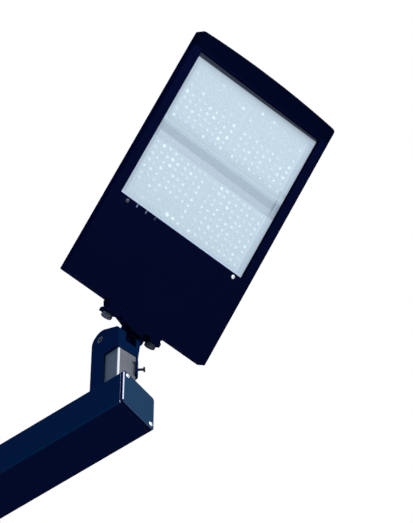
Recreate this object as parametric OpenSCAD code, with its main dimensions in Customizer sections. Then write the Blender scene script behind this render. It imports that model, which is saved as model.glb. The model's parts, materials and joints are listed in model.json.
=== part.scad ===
// Shoebox area light on a tilting slip fitter, at the end of a square pole arm.
// Origin: centre of the pole face. +X runs along the arm to its free end, +Z is up.
// The head is drawn flat in its own frame and then tilted about the knuckle pivot.

/* [Arm] */
// Length from the pole face to the outside of the end cap
arm_len = 501.5; // [420:0.5:700]
// Outer width of the square arm
arm_w = 101.6; // [94:0.2:120]
// Wall of the arm
arm_wall = 5; // [4:0.5:8]
// Outer corner radius of the arm and its cap
arm_corner_r = 6; // [4:0.5:12]
// Thickness of the end cap
cap_t = 8.5; // [4:0.5:10]
// Distance of the cap screws from the arm's outer faces
cap_screw_inset = 11; // [10:1:20]
// Length of the two screw lugs inside the arm's end
cap_lug_len = 22; // [16:1:35]

/* [Pole plate] */
// Width of the square plate that bolts to the pole
plate_w = 160; // [150:1:220]
// Thickness of the plate
plate_t = 10; // [8:1:16]
// Corner radius of the plate
plate_corner_r = 12; // [4:1:20]
// Distance between bolt holes
plate_hole_spacing = 130; // [126:1:134]
// Radius of the bolt holes
plate_hole_r = 7; // [5:0.5:8]
// Radius of the wire hole
wire_hole_r = 30; // [20:1:38]

/* [Swivel and tenon] */
// Distance from the arm's end to the swivel axis
tenon_setback = 54.5; // [52:0.5:90]
// Turn of the tenon about the vertical, away from the arm's line
head_yaw = 10.5; // [-60:0.5:60]
// Outer width of the square tenon
tenon_w = 50; // [44:1:54]
// Wall of the tenon
tenon_wall = 4; // [3:0.5:6]
// Corner radius of the tenon
tenon_corner_r = 4; // [2:0.5:8]
// Height of the tenon's top above the arm
tenon_top = 146; // [140:1:150]
// Radius of the turntable under the tenon
turntable_r = 43; // [40:1:46]
// Thickness of the turntable
turntable_t = 6; // [4:0.5:8]
// Radius of the hollow stem through the arm's top wall
stem_r = 22; // [18:0.5:26]
// Bore of the stem, for wires
stem_bore_r = 16; // [10:0.5:17]
// Thickness of the friction washer on the arm
friction_washer_t = 2; // [1:0.5:3]
// Thickness of the ring nut inside the arm
ring_nut_t = 8; // [6:0.5:12]

/* [Slip fitter] */
// Wall of the fitter around the tenon
saddle_wall = 4.8; // [3.5:0.1:7]
// Depth of the fitter behind the swivel axis
saddle_back = 60.3; // [56:0.1:70]
// Thickness of the left knuckle cheek
cheek_t = 20; // [12:0.5:20]
// Thickness of the right knuckle cheek, between tongue and ear
right_cheek_t = 10.5; // [10:0.5:16]
// Height of the pivot above the arm
pivot_z = 172; // [171:0.5:176]
// Distance of the pivot behind the swivel axis
pivot_x = 24; // [22:0.5:24]
// Height of the hood's lower edge at its front left corner
hood_low = 121; // [112:1:130]
// Rise of the hood's lower edge from front to back
hood_rise = 11; // [4:1:18]
// Rise of the hood's lower edge from left to right
hood_lift = 6; // [0:1:10]
// How far the hood's front wall leans in at its lower edge
hood_taper = 2; // [0:0.25:2.5]
// Length of the open window over the tenon's side
side_window = 48; // [36:1:48]
// Radius of the rear top corner
top_rear_r = 26.5; // [20:0.5:27]
// Radius of the front top corner
top_front_r = 20; // [12:0.5:22]
// Height of the front top corner's centre above the pivot
top_front_rise = 3; // [0:0.5:4]
// Slope of the top between the two round corners
top_slope = 33; // [27:0.5:33]
// Bottom of the clamp ear above the arm
ear_low = 62; // [30:1:64]
// Height of the clamp ear
ear_h = 48; // [30:1:50]
// Shank radius of the clamp screw
clamp_screw_r = 3; // [3:0.5:5]
// Length of clamp screw that stands out of the ear
clamp_screw_out = 11; // [2:0.5:30]

/* [Knuckle] */
// Tilt of the head above the horizontal
head_tilt = 45; // [0:1:85]
// Distance from the pivot to the head's near edge
knuckle_reach = 84; // [84:1:100]
// Height of the pivot above the head's underside
knuckle_rise = 18.5; // [16:0.5:20]
// Radius of the knuckle hub
hub_r = 19; // [15:0.5:19]
// Thickness of the ear that runs outside the right cheek
outer_ear_t = 12; // [8:0.5:13]
// Height of the tongue above the pivot
tongue_up = 5; // [5:0.5:10]
// Depth of the tongue below the pivot
tongue_down = 15; // [10:0.5:17]
// Shank radius of the pivot bolt
pivot_bolt_r = 6; // [5:0.5:8]
// Shank radius of the stop bolt
stop_bolt_r = 5; // [4:0.5:5]
// Width of the flange where it meets the housing
flange_w = 154; // [152:1:180]
// Width of the flange at its bolt face
flange_face_w = 152; // [150:1:152]
// Depth of the groove around the flange's ends
flange_groove = 5; // [0:0.5:5]
// Depth of the flange
flange_t = 26; // [18:0.5:27]
// Lower and upper edges of the flange, from the head's underside
flange_low = -8; // [-10:1:-6]
flange_high = 26; // [25:1:26]
// Shift of the flange toward the outer ear
flange_shift = 2.5; // [0:0.5:4]
// Distance of the flange bolts from the flange's middle
flange_bolt_y = 61.5; // [56:0.5:62]
// Height of the flange bolts above the underside
flange_bolt_z = 7.5; // [7.5:0.5:12]
// Shank radius of the flange bolts
flange_bolt_r = 6; // [4:0.5:7]

/* [Housing] */
// Width of the head
head_w = 397; // [397:1:440]
// Length of the head's straight sides
head_len = 612; // [612:1:680]
// How far the far edge bows out
end_bow = 8; // [4:1:20]
// Height of the side wall
rim_h = 28; // [28:1:34]
// Thickness of the side walls
rim_t = 7; // [5:0.5:8]
// Thickness of the floor under the drivers
floor_t = 4; // [3:0.5:6]
// Radius of the near corners
near_corner_r = 5; // [3:0.5:6]
// Radius of the far corners
far_corner_r = 8; // [6:1:30]
// Length of the driver bay's opening
bay_len = 176; // [174:1:178]
// Height of the driver bay's cover
bay_top = 78; // [72:1:90]
// Height of the heat sink's floor above the underside
sink_z = 30; // [28:1:32]
// Height of the fins at the driver bay
fin_high = 55; // [46:1:56]
// Height of the fins at the far end
fin_low = 42; // [38:1:46]
// Distance between fins
fin_pitch = 13; // [11:0.5:18]
// Gap between fins
fin_gap = 9.5; // [7:0.5:10]
// Depth of the groove along the side walls
side_groove = 1.4; // [0.6:0.1:2]

/* [Lens window] */
// Width of the window
window_w = 352; // [340:1:352]
// Length of the window
window_len = 362; // [354:1:362]
// Distance from the near edge to the window
window_near = 210; // [210:1:214]
// Depth of the lens below the underside
lens_depth = 11; // [10.5:0.5:12]
// Thickness of the lens
lens_t = 3.5; // [2.5:0.5:4]
// Length of the lens edge that tucks under the housing's far lip
lens_hold = 6; // [4:0.5:6]
// Width of the flat middle of the lens's cross trough
trough_w = 19.5; // [10:0.5:24]
// Width of each slope of the trough
trough_slope_w = 18; // [8:0.5:20]
// Depth of the trough
trough_depth = 4.5; // [2:0.5:5]
// Distance of the trough's middle from the near edge
trough_x = 389; // [385:1:393]
// Thickness of the lens gasket
gasket_t = 2; // [1:0.5:2.5]

/* [Light modules] */
// Light sources in each row
led_columns = 9; // [5:1:9]
// Rows of light sources
led_rows = 9; // [5:1:9]
// Distance between light sources across the head
led_pitch_y = 17; // [14:0.5:17]
// Distance between light sources along the head
led_pitch_x = 15.3; // [12:0.1:15.3]
// Distance of a module's centre from the head's middle
module_y = 83.4; // [83:0.1:84]
// Distance of a module's centre from the trough's middle
module_x = 96; // [95:0.5:97]
// Thickness of the circuit boards
board_t = 1.6; // [1:0.1:2]
// Radius of one optic
optic_r = 5; // [3:0.25:6]
// Height of one optic
optic_h = 2.4; // [1.5:0.1:2.6]

/* [Clamp bar] */
// Width of the bar that locks the lens in
bar_w = 19; // [18:0.5:19]
// Distance between the ribs on the bar
bar_rib_pitch = 25.5; // [20:0.5:26]
// Ribs on each side of the middle one
bar_ribs = 5; // [3:1:5]
// Width of a rib
bar_rib_w = 3; // [2:0.5:5]
// Height of a rib
bar_rib_h = 1.2; // [0.6:0.1:2]

/* [Drivers] */
// Length of a driver case
driver_len = 162; // [140:1:164]
// Width of a driver case
driver_w = 64; // [50:1:66]
// Height of a driver case
driver_h = 36; // [25:1:40]

/* [Cover] */
// Wall of the driver cover
cover_t = 3; // [2.5:0.5:4]
// Radius of a cover screw's pocket
cover_pocket_r = 6.5; // [6:0.5:7]

/* [Hidden] */
$fn = 64;
eps = 0.01;
gap = 0.3;
run_gap = 0.06;
slip_gap = 0.3;
hole_gap = 0.2;

arm_top = arm_w / 2;
arm_inner = arm_w - 2 * arm_wall;
tube_x0 = plate_t;
tube_x1 = arm_len - cap_t;
tenon_x = arm_len - tenon_setback;
cap_screw_pos = arm_top - cap_screw_inset;
cap_screw_r = 2.5;
cap_lug_w = 20;
cap_head_r = 4.8;
cap_head_t = 3;

turntable_z = friction_washer_t + gap;
seat_z = turntable_z + turntable_t;
stem_low = -arm_wall - gap - ring_nut_t - 2;
ring_nut_flats = 2 * (stem_r + 7);

half_tenon = tenon_w / 2;
socket_half = half_tenon + slip_gap;
saddle_half = socket_half + saddle_wall;
saddle_front = socket_half + saddle_wall - 0.7;
socket_top = tenon_top + slip_gap;
slot_floor = socket_top + 5.7;
slot_half = saddle_half - cheek_t;
tongue_half = slot_half - 0.5;
slot_right = saddle_half - right_cheek_t;
tongue_right = slot_right - 0.5;
outer_ear_y0 = saddle_half + 0.5;
outer_ear_y1 = outer_ear_y0 + outer_ear_t;
pivot_seat_y = outer_ear_y1 + gap + 0.1;
rear_arc_x = top_rear_r - saddle_back;
front_arc_x = saddle_front - top_front_r;
front_arc_z = pivot_z + top_front_rise;
top_run = front_arc_x - rear_arc_x + (top_front_r - top_rear_r) * sin(top_slope);
rear_arc_z = front_arc_z + top_run * tan(top_slope) + (top_front_r - top_rear_r) * cos(top_slope);
hood_corner_low = (socket_half * sqrt(2) + 1.7);
hood_corner_top = (saddle_front + saddle_half) / sqrt(2);
pivot_flats = 19;
pivot_head_t = 7.5;
pivot_washer_t = 2.5;
blind_wall = 3;
stop_head_r = 9;
stop_head_t = 6.2;
stop_sink = stop_head_t + 0.2;
washer_r = 12;
core_back = 5.5;
core_front = 7;
core_half = socket_half - 1.5;

ear_z = ear_low + ear_h / 2;
corner_out = (half_tenon - tenon_corner_r) * sqrt(2) + tenon_corner_r;
ear_in = corner_out + 0.8;
ear_out = ear_in + saddle_wall;
ear_reach = 14;
clamp_flats = 10;
clamp_head_t = 4;

flange_bolt_ys = [flange_shift - flange_bolt_y, flange_shift + flange_bolt_y];
flange_bolt_flats = 22;
flange_head_t = 7.5;
flange_washer_t = 2;
flange_pad_t = 12;
flange_recess_x = -18;
flange_neck_x = -25;
flange_web_x = -29;
tongue_low = knuckle_rise - tongue_down;
tongue_high = knuckle_rise + tongue_up;
wire_z = 16;
wire_r = 5;
wire_drop_x = -50;
grommet_r = 7;

deck_x = bay_len + 14;
deck_low = 30;
window_far = window_near + window_len;
half_w = head_w / 2;
half_window = window_w / 2;
bow_r = (head_w * head_w) / (8 * end_bow) + end_bow / 2;
shoulder_y = half_w - 13.5;
shoulder_z = fin_high - 1;
crown_y = half_w - 29.5;
led_z = 23;
cavity_half = half_window - 11.5;
cavity_x0 = window_near + 7;
cavity_x1 = window_far - 6;
ledge_z = lens_depth + lens_t + gasket_t;
lens_half = half_window - 0.6;
lens_near = window_near - 5.5;
lens_far = window_far + lens_hold;
bar_near = window_near - bar_w;
bar_screw_y = bar_rib_pitch * (bar_ribs + 1);
bar_x = window_near - bar_w / 2;
board_w = led_pitch_y * led_columns + 7;
board_len = led_pitch_x * led_rows + 8;
chip = 3.2;
chip_h = 0.8;
optic_z = led_z - board_t - chip_h;
optic_plate_t = 1.6;

seal_t = 2;
tray_top = rim_h - seal_t;
cover_x1 = deck_x - 1;
screw_y = half_w - rim_t - 6;
cover_screw_x = [18, 94, 170];
boss_r = 7;
cover_screw_r = 2.4;
pocket_floor = 40;
driver_x = [24, 100];
driver_y = -half_w + rim_t + 16;
vent_x = 132;
vent_z = 15;
vent_r = 3;
earth_x = 30;
earth_y = half_w - 158.5;
surge_size = [46, 70, 28];
surge_x = 112;
surge_y = half_w - 168.5;
terminal_size = [26, 66, 18];
terminal_x = 40;
terminal_y = half_w - 116.5;
terminal_pitch = 12.5;

// ---- shared shapes ----

module rounded_square(w, r) {
    square([w, w - 2 * r], center = true);
    square([w - 2 * r, w], center = true);
    for (x = [-1, 1], y = [-1, 1])
        translate([x * (w / 2 - r), y * (w / 2 - r)]) circle(r);
}

// a bolt that points along -Z, with the underside of its head at z = 0
module hex_bolt(r, length, flats, head_t) {
    translate([0, 0, -length]) cylinder(r = r, h = length + eps);
    cylinder(r = flats / sqrt(3), h = head_t, $fn = 6);
}

module pan_screw(r, length, head_r, head_t) {
    translate([0, 0, -length]) cylinder(r = r, h = length + eps);
    difference() {
        cylinder(r = head_r, h = head_t);
        translate([0, 0, head_t * 0.45]) cylinder(r = head_r * 0.5, h = head_t, $fn = 6);
    }
}

module hex_nut(flats, bore_r, t) {
    difference() {
        cylinder(r = flats / sqrt(3), h = t, $fn = 6);
        translate([0, 0, -1]) cylinder(r = bore_r, h = t + 2);
    }
}

module washer(outer_r, inner_r, t) {
    difference() {
        cylinder(r = outer_r, h = t);
        translate([0, 0, -1]) cylinder(r = inner_r, h = t + 2);
    }
}

// extrude a side view, drawn as [x, z], across Y
module across(y0, y1) {
    translate([0, y1, 0]) rotate([90, 0, 0]) linear_extrude(y1 - y0) children();
}

// extrude an end view, drawn as [y, z], along X
module along(x0, x1) {
    translate([x0, 0, 0]) rotate([90, 0, 90]) linear_extrude(x1 - x0) children();
}

// ---- frames ----

// on the arm's top at the swivel axis, turned with the tenon
module at_tenon() {
    translate([tenon_x, 0, arm_top]) rotate([0, 0, -head_yaw]) children();
}

// the head's own frame: near edge at x = 0, underside at z = 0
module at_head() {
    at_tenon() translate([-pivot_x, 0, pivot_z]) rotate([0, -head_tilt, 0])
        translate([knuckle_reach, 0, -knuckle_rise]) children();
}

// ---- arm ----

module pole_plate() {
    s = plate_hole_spacing / 2;
    color([0.02, 0.06, 0.15]) along(0, plate_t) difference() {
        rounded_square(plate_w, plate_corner_r);
        circle(wire_hole_r);
        for (y = [-s, s], z = [-s, s]) translate([y, z]) circle(plate_hole_r);
    }
}

module arm_section() {
    difference() {
        rounded_square(arm_w, arm_corner_r);
        square(arm_inner, center = true);
    }
}

module arm_tube() {
    p = cap_screw_pos;
    color([0.01, 0.1, 0.23]) difference() {
        union() {
            along(tube_x0, tube_x1) arm_section();
            along(tube_x1 - cap_lug_len, tube_x1) intersection() {
                for (s = [-1, 1]) translate([s * p, -s * p]) square(cap_lug_w, center = true);
                square(arm_inner + 2, center = true);
            }
        }
        for (s = [-1, 1])
            translate([tube_x1 - cap_lug_len - 1, s * p, -s * p]) rotate([0, 90, 0])
                cylinder(r = cap_screw_r + run_gap, h = cap_lug_len + 2);
        translate([tenon_x, 0, arm_top - arm_wall - 1])
            cylinder(r = stem_r + run_gap, h = arm_wall + 2);
    }
}

module end_cap() {
    p = cap_screw_pos;
    color([0.16, 0.27, 0.38]) along(tube_x1, arm_len) difference() {
        rounded_square(arm_w, arm_corner_r);
        for (s = [-1, 1]) translate([s * p, -s * p]) circle(cap_screw_r + hole_gap);
    }
}

module cap_screws() {
    p = cap_screw_pos;
    color([0.7, 0.72, 0.75]) for (s = [-1, 1])
        translate([arm_len, s * p, -s * p]) rotate([0, 90, 0])
            pan_screw(cap_screw_r, cap_t + cap_lug_len * 0.7, cap_head_r, cap_head_t);
}

// ---- swivel and tenon ----

module friction_washer() {
    color([0.05, 0.05, 0.06]) translate([tenon_x, 0, arm_top])
        washer(turntable_r - 1, stem_r + gap, friction_washer_t);
}

module turntable() {
    color([0.6, 0.62, 0.65]) at_tenon() difference() {
        union() {
            translate([0, 0, turntable_z]) cylinder(r = turntable_r, h = turntable_t);
            translate([0, 0, stem_low]) cylinder(r = stem_r, h = turntable_z - stem_low + eps);
        }
        translate([0, 0, stem_low - 1]) cylinder(r = stem_bore_r, h = seat_z - stem_low + 2);
    }
}

module ring_nut() {
    color([0.6, 0.62, 0.65]) at_tenon() translate([0, 0, -arm_wall - gap - ring_nut_t])
        hex_nut(ring_nut_flats, stem_r + run_gap, ring_nut_t);
}

module tenon() {
    color([0.55, 0.58, 0.62]) at_tenon() translate([0, 0, seat_z])
        linear_extrude(tenon_top - seat_z) difference() {
            rounded_square(tenon_w, tenon_corner_r);
            square(tenon_w - 2 * tenon_wall, center = true);
        }
}

// ---- slip fitter ----

module fitter_side() {
    a = 90 - top_slope;
    rear = [rear_arc_x + top_rear_r * cos(a), rear_arc_z + top_rear_r * sin(a)];
    front = [front_arc_x + top_front_r * cos(a), front_arc_z + top_front_r * sin(a)];
    polygon([
        [-saddle_back, seat_z], [saddle_front - hood_taper, seat_z],
        [saddle_front - hood_taper, hood_low], [saddle_front, front_arc_z],
        front, rear, [rear_arc_x, rear_arc_z], [-saddle_back, rear_arc_z]
    ]);
    translate([rear_arc_x, rear_arc_z]) circle(top_rear_r);
    translate([front_arc_x, front_arc_z]) circle(top_front_r);
}

// the open side over the tenon, below the hood
module side_window_shape() {
    x0 = saddle_front - side_window;
    polygon([
        [x0, seat_z - 1], [saddle_front + 1, seat_z - 1], [saddle_front + 1, hood_low],
        [saddle_front, hood_low], [x0, hood_low + hood_rise]
    ]);
}

// the ear, seen from above, wraps the tenon's corner at 45 degrees
module ear_shape() {
    a = ear_in * sqrt(2);
    b = ear_out * sqrt(2);
    e = ear_reach / sqrt(2);
    x0 = saddle_front - side_window - 6;
    polygon([
        [x0, socket_half], [a - socket_half, socket_half], [a / 2 + e, a / 2 - e],
        [b / 2 + e, b / 2 - e], [b - saddle_half, saddle_half], [x0, saddle_half]
    ]);
}

module slip_fitter() {
    color([0.03, 0.09, 0.22]) at_tenon() difference() {
        union() {
            difference() {
                across(-saddle_half, saddle_half) fitter_side();
                across(-saddle_half - 1, saddle_half + 1) side_window_shape();
                // the hood's edge climbs to the right, and its right corner leans in
                along(saddle_front - side_window, saddle_front + 1) polygon([
                    [-saddle_half, hood_low], [saddle_half + 1, hood_low - 1],
                    [saddle_half + 1, hood_low + hood_lift]
                ]);
                rotate([0, 0, 45]) across(-saddle_half, saddle_half) polygon([
                    [hood_corner_low, hood_low - 1], [2 * saddle_half, hood_low - 1],
                    [2 * saddle_half, pivot_z - 5], [hood_corner_top, pivot_z - 5]
                ]);
            }
            translate([0, 0, ear_low]) linear_extrude(ear_h) ear_shape();
        }
        // socket for the tenon
        translate([-socket_half, -socket_half, seat_z - 1])
            cube([2 * socket_half, 2 * socket_half, socket_top - seat_z + 1]);
        // hollow behind the socket
        translate([-saddle_back + core_back, -core_half, seat_z - 1])
            cube([saddle_back - socket_half - core_back - core_front, 2 * core_half,
                socket_top - seat_z + 1]);
        // slot for the knuckle's tongue
        translate([-saddle_back - 1, -slot_half, slot_floor])
            cube([saddle_back + saddle_front + 2, slot_half + slot_right, rear_arc_z + top_rear_r]);
        // wire hole from the tenon into the slot
        translate([0, 0, socket_top - 1]) cylinder(r = 9, h = slot_floor - socket_top + 2);
        // pivot bore, blind in the left cheek
        translate([-pivot_x, -saddle_half + blind_wall, pivot_z]) rotate([-90, 0, 0])
            cylinder(r = pivot_bolt_r + run_gap, h = 2 * saddle_half);
        // stop bolt bore, with a sunk head, blind in the right cheek
        translate([rear_arc_x, -saddle_half - 1, rear_arc_z]) rotate([-90, 0, 0]) {
            cylinder(r = stop_bolt_r + run_gap, h = 2 * saddle_half - blind_wall + 1);
            cylinder(r = stop_head_r + gap, h = stop_sink + 1);
        }
        // clamp screw bore
        translate([0, 0, ear_z]) rotate([0, 90, 45])
            cylinder(r = clamp_screw_r + run_gap, h = ear_out + 5);
    }
}

module clamp_screw() {
    tip = ear_out + clamp_screw_out;
    color([0.05, 0.08, 0.16]) at_tenon() translate([0, 0, ear_z]) rotate([0, 90, 45])
        translate([0, 0, tip])
            hex_bolt(clamp_screw_r, tip - corner_out - gap, clamp_flats, clamp_head_t);
}

module pivot_washer() {
    color([0.3, 0.32, 0.35]) at_tenon() translate([-pivot_x, pivot_seat_y, pivot_z])
        rotate([-90, 0, 0]) washer(washer_r, pivot_bolt_r + run_gap, pivot_washer_t);
}

module pivot_bolt() {
    y = pivot_seat_y + pivot_washer_t;
    color([0.3, 0.32, 0.35]) at_tenon() translate([-pivot_x, y, pivot_z]) rotate([-90, 0, 0])
        hex_bolt(pivot_bolt_r, y + saddle_half - blind_wall - 0.5, pivot_flats, pivot_head_t);
}

module stop_bolt() {
    y = stop_sink - saddle_half;
    color([0.45, 0.47, 0.5]) at_tenon() translate([rear_arc_x, y, rear_arc_z]) rotate([90, 0, 0])
        pan_screw(stop_bolt_r, saddle_half - blind_wall - 0.5 - y, stop_head_r, stop_head_t);
}

// ---- knuckle and flange, on the head ----

module tongue_side() {
    polygon([
        [-10, tongue_high], [-knuckle_reach, tongue_high],
        [-knuckle_reach, tongue_low], [-10, tongue_low]
    ]);
    translate([-knuckle_reach, knuckle_rise]) circle(hub_r);
}

// one half of the flange from above: grooved end, bolt pad, recess, and a web to the tongue
module flange_half() {
    a = flange_w / 2;
    b = flange_face_w / 2;
    pad = flange_bolt_y - washer_r - 0.5;
    polygon([
        [0, 0], [0, a], [-4, a], [-13, b - flange_groove], [-18, b], [-flange_t, b],
        [-flange_t, pad], [flange_recess_x, pad - 2], [flange_recess_x, pad - 14],
        [flange_neck_x, tongue_half + 3], [flange_neck_x, 0]
    ]);
}

// the ear's foot on the flange
module outer_ear_foot() {
    y = outer_ear_y1 + 2.5;
    polygon([[-10, outer_ear_y0], [-44, outer_ear_y0], [-44, y - 2], [-39, y], [-10, y]]);
}

module knuckle_flange() {
    color([0.02, 0.04, 0.15]) at_head() difference() {
        union() {
            translate([0, flange_shift, flange_low]) linear_extrude(flange_high - flange_low) {
                flange_half();
                mirror([0, 1]) flange_half();
            }
            across(-tongue_half, tongue_right) tongue_side();
            // web between the tongue and the outer ear
            translate([flange_web_x, 0, flange_low])
                cube([-flange_web_x, outer_ear_y0 + 1, flange_high - flange_low]);
            across(outer_ear_y0, outer_ear_y1) tongue_side();
            translate([0, 0, tongue_low]) linear_extrude(flange_high - tongue_low) outer_ear_foot();
        }
        translate([-knuckle_reach, -tongue_half - 1, knuckle_rise]) rotate([-90, 0, 0])
            cylinder(r = pivot_bolt_r + run_gap, h = tongue_half + outer_ear_y1 + 2);
        for (y = flange_bolt_ys)
            translate([1, y, flange_bolt_z]) rotate([0, -90, 0])
                cylinder(r = flange_bolt_r + hole_gap, h = flange_t + 2);
        // wire way through the tongue, open at its underside
        translate([1, 0, wire_z]) rotate([0, -90, 0]) cylinder(r = wire_r, h = 1 - wire_drop_x);
        translate([wire_drop_x, 0, tongue_low - 1]) cylinder(r = wire_r, h = wire_z - tongue_low + 1);
    }
}

module flange_washers() {
    color([0.5, 0.52, 0.56]) at_head() for (y = flange_bolt_ys)
        translate([-flange_t, y, flange_bolt_z]) rotate([0, -90, 0])
            washer(washer_r, flange_bolt_r + hole_gap, flange_washer_t);
}

module flange_bolts() {
    reach = flange_t + flange_washer_t + rim_t + flange_pad_t - 3;
    color([0.5, 0.52, 0.56]) at_head() for (y = flange_bolt_ys)
        translate([-flange_t - flange_washer_t, y, flange_bolt_z]) rotate([0, -90, 0])
            hex_bolt(flange_bolt_r, reach, flange_bolt_flats, flange_head_t);
}

module wire_grommet() {
    color([0.06, 0.07, 0.09]) at_head() translate([0.5, 0, wire_z]) rotate([0, 90, 0])
        difference() {
            union() {
                cylinder(r = grommet_r, h = rim_t);
                translate([0, 0, rim_t - 0.5]) cylinder(r = grommet_r + 2.5, h = 2.5);
            }
            translate([0, 0, -1]) cylinder(r = wire_r - 1.5, h = rim_t + 4);
        }
}

// ---- housing ----

module head_plan(inset = 0) {
    w = half_w - inset;
    n = near_corner_r;
    f = far_corner_r;
    intersection() {
        translate([head_len + end_bow - bow_r - inset, 0]) circle(bow_r, $fn = 360);
        union() {
            translate([inset + n, -w]) square([head_len - 2 * inset - n - f, 2 * w]);
            translate([inset, -w + n]) square([head_len - 2 * inset, 2 * (w - n)]);
            translate([head_len / 2, -w + f]) square([head_len / 2 + end_bow, 2 * (w - f)]);
            for (y = [-1, 1]) {
                translate([inset + n, y * (w - n)]) circle(n);
                translate([head_len - inset - f, y * (w - f)]) circle(f);
            }
        }
    }
}

// the end view of the outer skin; inset gives the inside of a cover
module head_end(inset = 0) {
    w = half_w - inset;
    polygon([
        [-w + 1.5, 0], [w - 1.5, 0], [w, 1.5], [w, rim_h], [shoulder_y - inset, shoulder_z],
        [crown_y - inset, bay_top - inset], [-crown_y + inset, bay_top - inset],
        [-shoulder_y + inset, shoulder_z], [-w, rim_h], [-w, 1.5]
    ]);
}

module tray_side() {
    far = head_len + end_bow;
    polygon([
        [0, 0], [far, 0], [far, rim_h], [far - 12, fin_low], [deck_x + 30, fin_high],
        [deck_x, fin_high], [deck_x, tray_top], [0, tray_top]
    ]);
}

module fin_gaps() {
    n = floor((crown_y + 2) / fin_pitch);
    for (i = [-n : n])
        translate([deck_x + 9, i * fin_pitch - fin_gap / 2, sink_z])
            cube([head_len, fin_gap, fin_high]);
}

module side_grooves() {
    z = rim_h / 2;
    for (y = [-1, 1])
        translate([far_corner_r, y > 0 ? half_w - side_groove : -half_w - 1, z - 1])
            cube([head_len - 3 * far_corner_r, side_groove + 1, 2]);
}

module housing() {
    color([0.015, 0.035, 0.16]) at_head() difference() {
        union() {
            difference() {
                intersection() {
                    linear_extrude(bay_top) head_plan();
                    along(-1, head_len + end_bow + 1) head_end();
                    across(-half_w, half_w) tray_side();
                }
                // driver bay, open at the top
                translate([rim_t, -half_w + rim_t, floor_t])
                    cube([bay_len - rim_t, head_w - 2 * rim_t, bay_top]);
                fin_gaps();
            }
            for (x = cover_screw_x, y = [-screw_y, screw_y])
                translate([x, y, floor_t - eps]) cylinder(r = boss_r, h = tray_top - floor_t + eps);
            // pads behind the flange bolts
            for (y = flange_bolt_ys)
                translate([rim_t - eps, y - 11, floor_t - eps]) cube([flange_pad_t, 22, 16]);
            // pads under the drivers, and the earth boss
            for (x = driver_x, y = [driver_y + 20, driver_y + driver_len - 32])
                translate([x + 7, y, floor_t - eps]) cube([driver_w - 14, 12, 2 + eps]);
            translate([earth_x, earth_y, floor_t - eps]) cylinder(r = 6, h = 9 + eps);
        }
        side_grooves();
        for (x = cover_screw_x, y = [-screw_y, screw_y])
            translate([x, y, floor_t + 3]) cylinder(r = cover_screw_r + run_gap, h = tray_top);
        translate([earth_x, earth_y, floor_t + 1]) cylinder(r = cover_screw_r + run_gap, h = 9);
        // window, lens seat and light chamber
        translate([bar_near, -half_window, -1])
            cube([window_far - bar_near, 2 * half_window, 1 + lens_depth]);
        translate([lens_near - 0.5, -half_window, lens_depth - 0.3])
            cube([lens_far - lens_near + 1, 2 * half_window, ledge_z - lens_depth + 0.3]);
        translate([cavity_x0, -cavity_half, ledge_z - eps])
            cube([cavity_x1 - cavity_x0, 2 * cavity_half, led_z - ledge_z + eps]);
        // flange bolts, wires and vent
        for (y = flange_bolt_ys)
            translate([-1, y, flange_bolt_z]) rotate([0, 90, 0])
                cylinder(r = flange_bolt_r + run_gap, h = rim_t + flange_pad_t + 2);
        translate([-1, 0, wire_z]) rotate([0, 90, 0])
            cylinder(r = grommet_r + run_gap, h = rim_t + 2);
        translate([bay_len - 1, 0, led_z - 2.5]) rotate([0, 90, 0])
            cylinder(r = 3, h = cavity_x0 - bay_len + 2);
        translate([vent_x, half_w - rim_t - 1, vent_z]) rotate([-90, 0, 0])
            cylinder(r = vent_r + run_gap, h = rim_t + 2);
        for (y = [-bar_screw_y, bar_screw_y])
            translate([bar_x, y, lens_depth - 1]) cylinder(r = cover_screw_r + run_gap, h = 12);
    }
}

module cover_side(inset = 0) {
    x1 = cover_x1 - inset;
    polygon([
        [inset, 0], [x1, 0], [x1, fin_high + 3], [x1 - 16, bay_top - inset],
        [inset + 32, bay_top - inset], [inset + 14, 60], [inset, rim_h]
    ]);
}

module cover_shell(inset) {
    intersection() {
        translate([0, 0, inset > 0 ? -1 : rim_h]) linear_extrude(bay_top) head_plan(inset);
        along(-1, head_len) head_end(inset);
        across(-half_w, half_w) cover_side(inset);
    }
}

module driver_cover() {
    color([0.015, 0.035, 0.16]) at_head() difference() {
        union() {
            difference() {
                cover_shell(0);
                difference() {
                    cover_shell(cover_t);
                    for (x = cover_screw_x, y = [-screw_y, screw_y])
                        translate([x, y, -1]) cylinder(r = cover_pocket_r + cover_t, h = bay_top);
                }
            }
        }
        for (x = cover_screw_x, y = [-screw_y, screw_y]) {
            translate([x, y, pocket_floor]) cylinder(r = cover_pocket_r, h = bay_top);
            translate([x, y, rim_h - 1]) cylinder(r = cover_screw_r + hole_gap, h = bay_top);
        }
        // shallow flutes across the top
        for (i = [-6 : 6])
            translate([50, i * 24 - 3, bay_top - 1.2]) cube([110, 6, 2]);
    }
}

module cover_gasket() {
    w = half_w - 1.5;
    color([0.03, 0.03, 0.035]) at_head() translate([0, 0, tray_top]) linear_extrude(seal_t)
        difference() {
            translate([1.5, -w]) square([bay_len + 8, 2 * w]);
            difference() {
                translate([rim_t, -half_w + rim_t]) square([bay_len - rim_t, head_w - 2 * rim_t]);
                for (x = cover_screw_x, y = [-screw_y, screw_y]) translate([x, y]) circle(boss_r);
            }
            for (x = cover_screw_x, y = [-screw_y, screw_y])
                translate([x, y]) circle(cover_screw_r + hole_gap);
        }
}

module cover_screws() {
    color([0.55, 0.57, 0.6]) at_head() for (x = cover_screw_x, y = [-screw_y, screw_y])
        translate([x, y, pocket_floor])
            pan_screw(cover_screw_r, pocket_floor - floor_t - 6, 4.6, 3.2);
}

// a pressure vent behind a small hole in the right side wall
module breather_vent() {
    color([0.06, 0.07, 0.09]) at_head() translate([vent_x, half_w - rim_t, vent_z])
        rotate([90, 0, 0]) {
            translate([0, 0, -rim_t + 1]) cylinder(r = vent_r, h = rim_t);
            cylinder(r = 9, h = 4);
            translate([0, 0, 4 - eps]) cylinder(r = 6.5, h = 2);
        }
}

// ---- drivers and wiring parts ----

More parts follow.
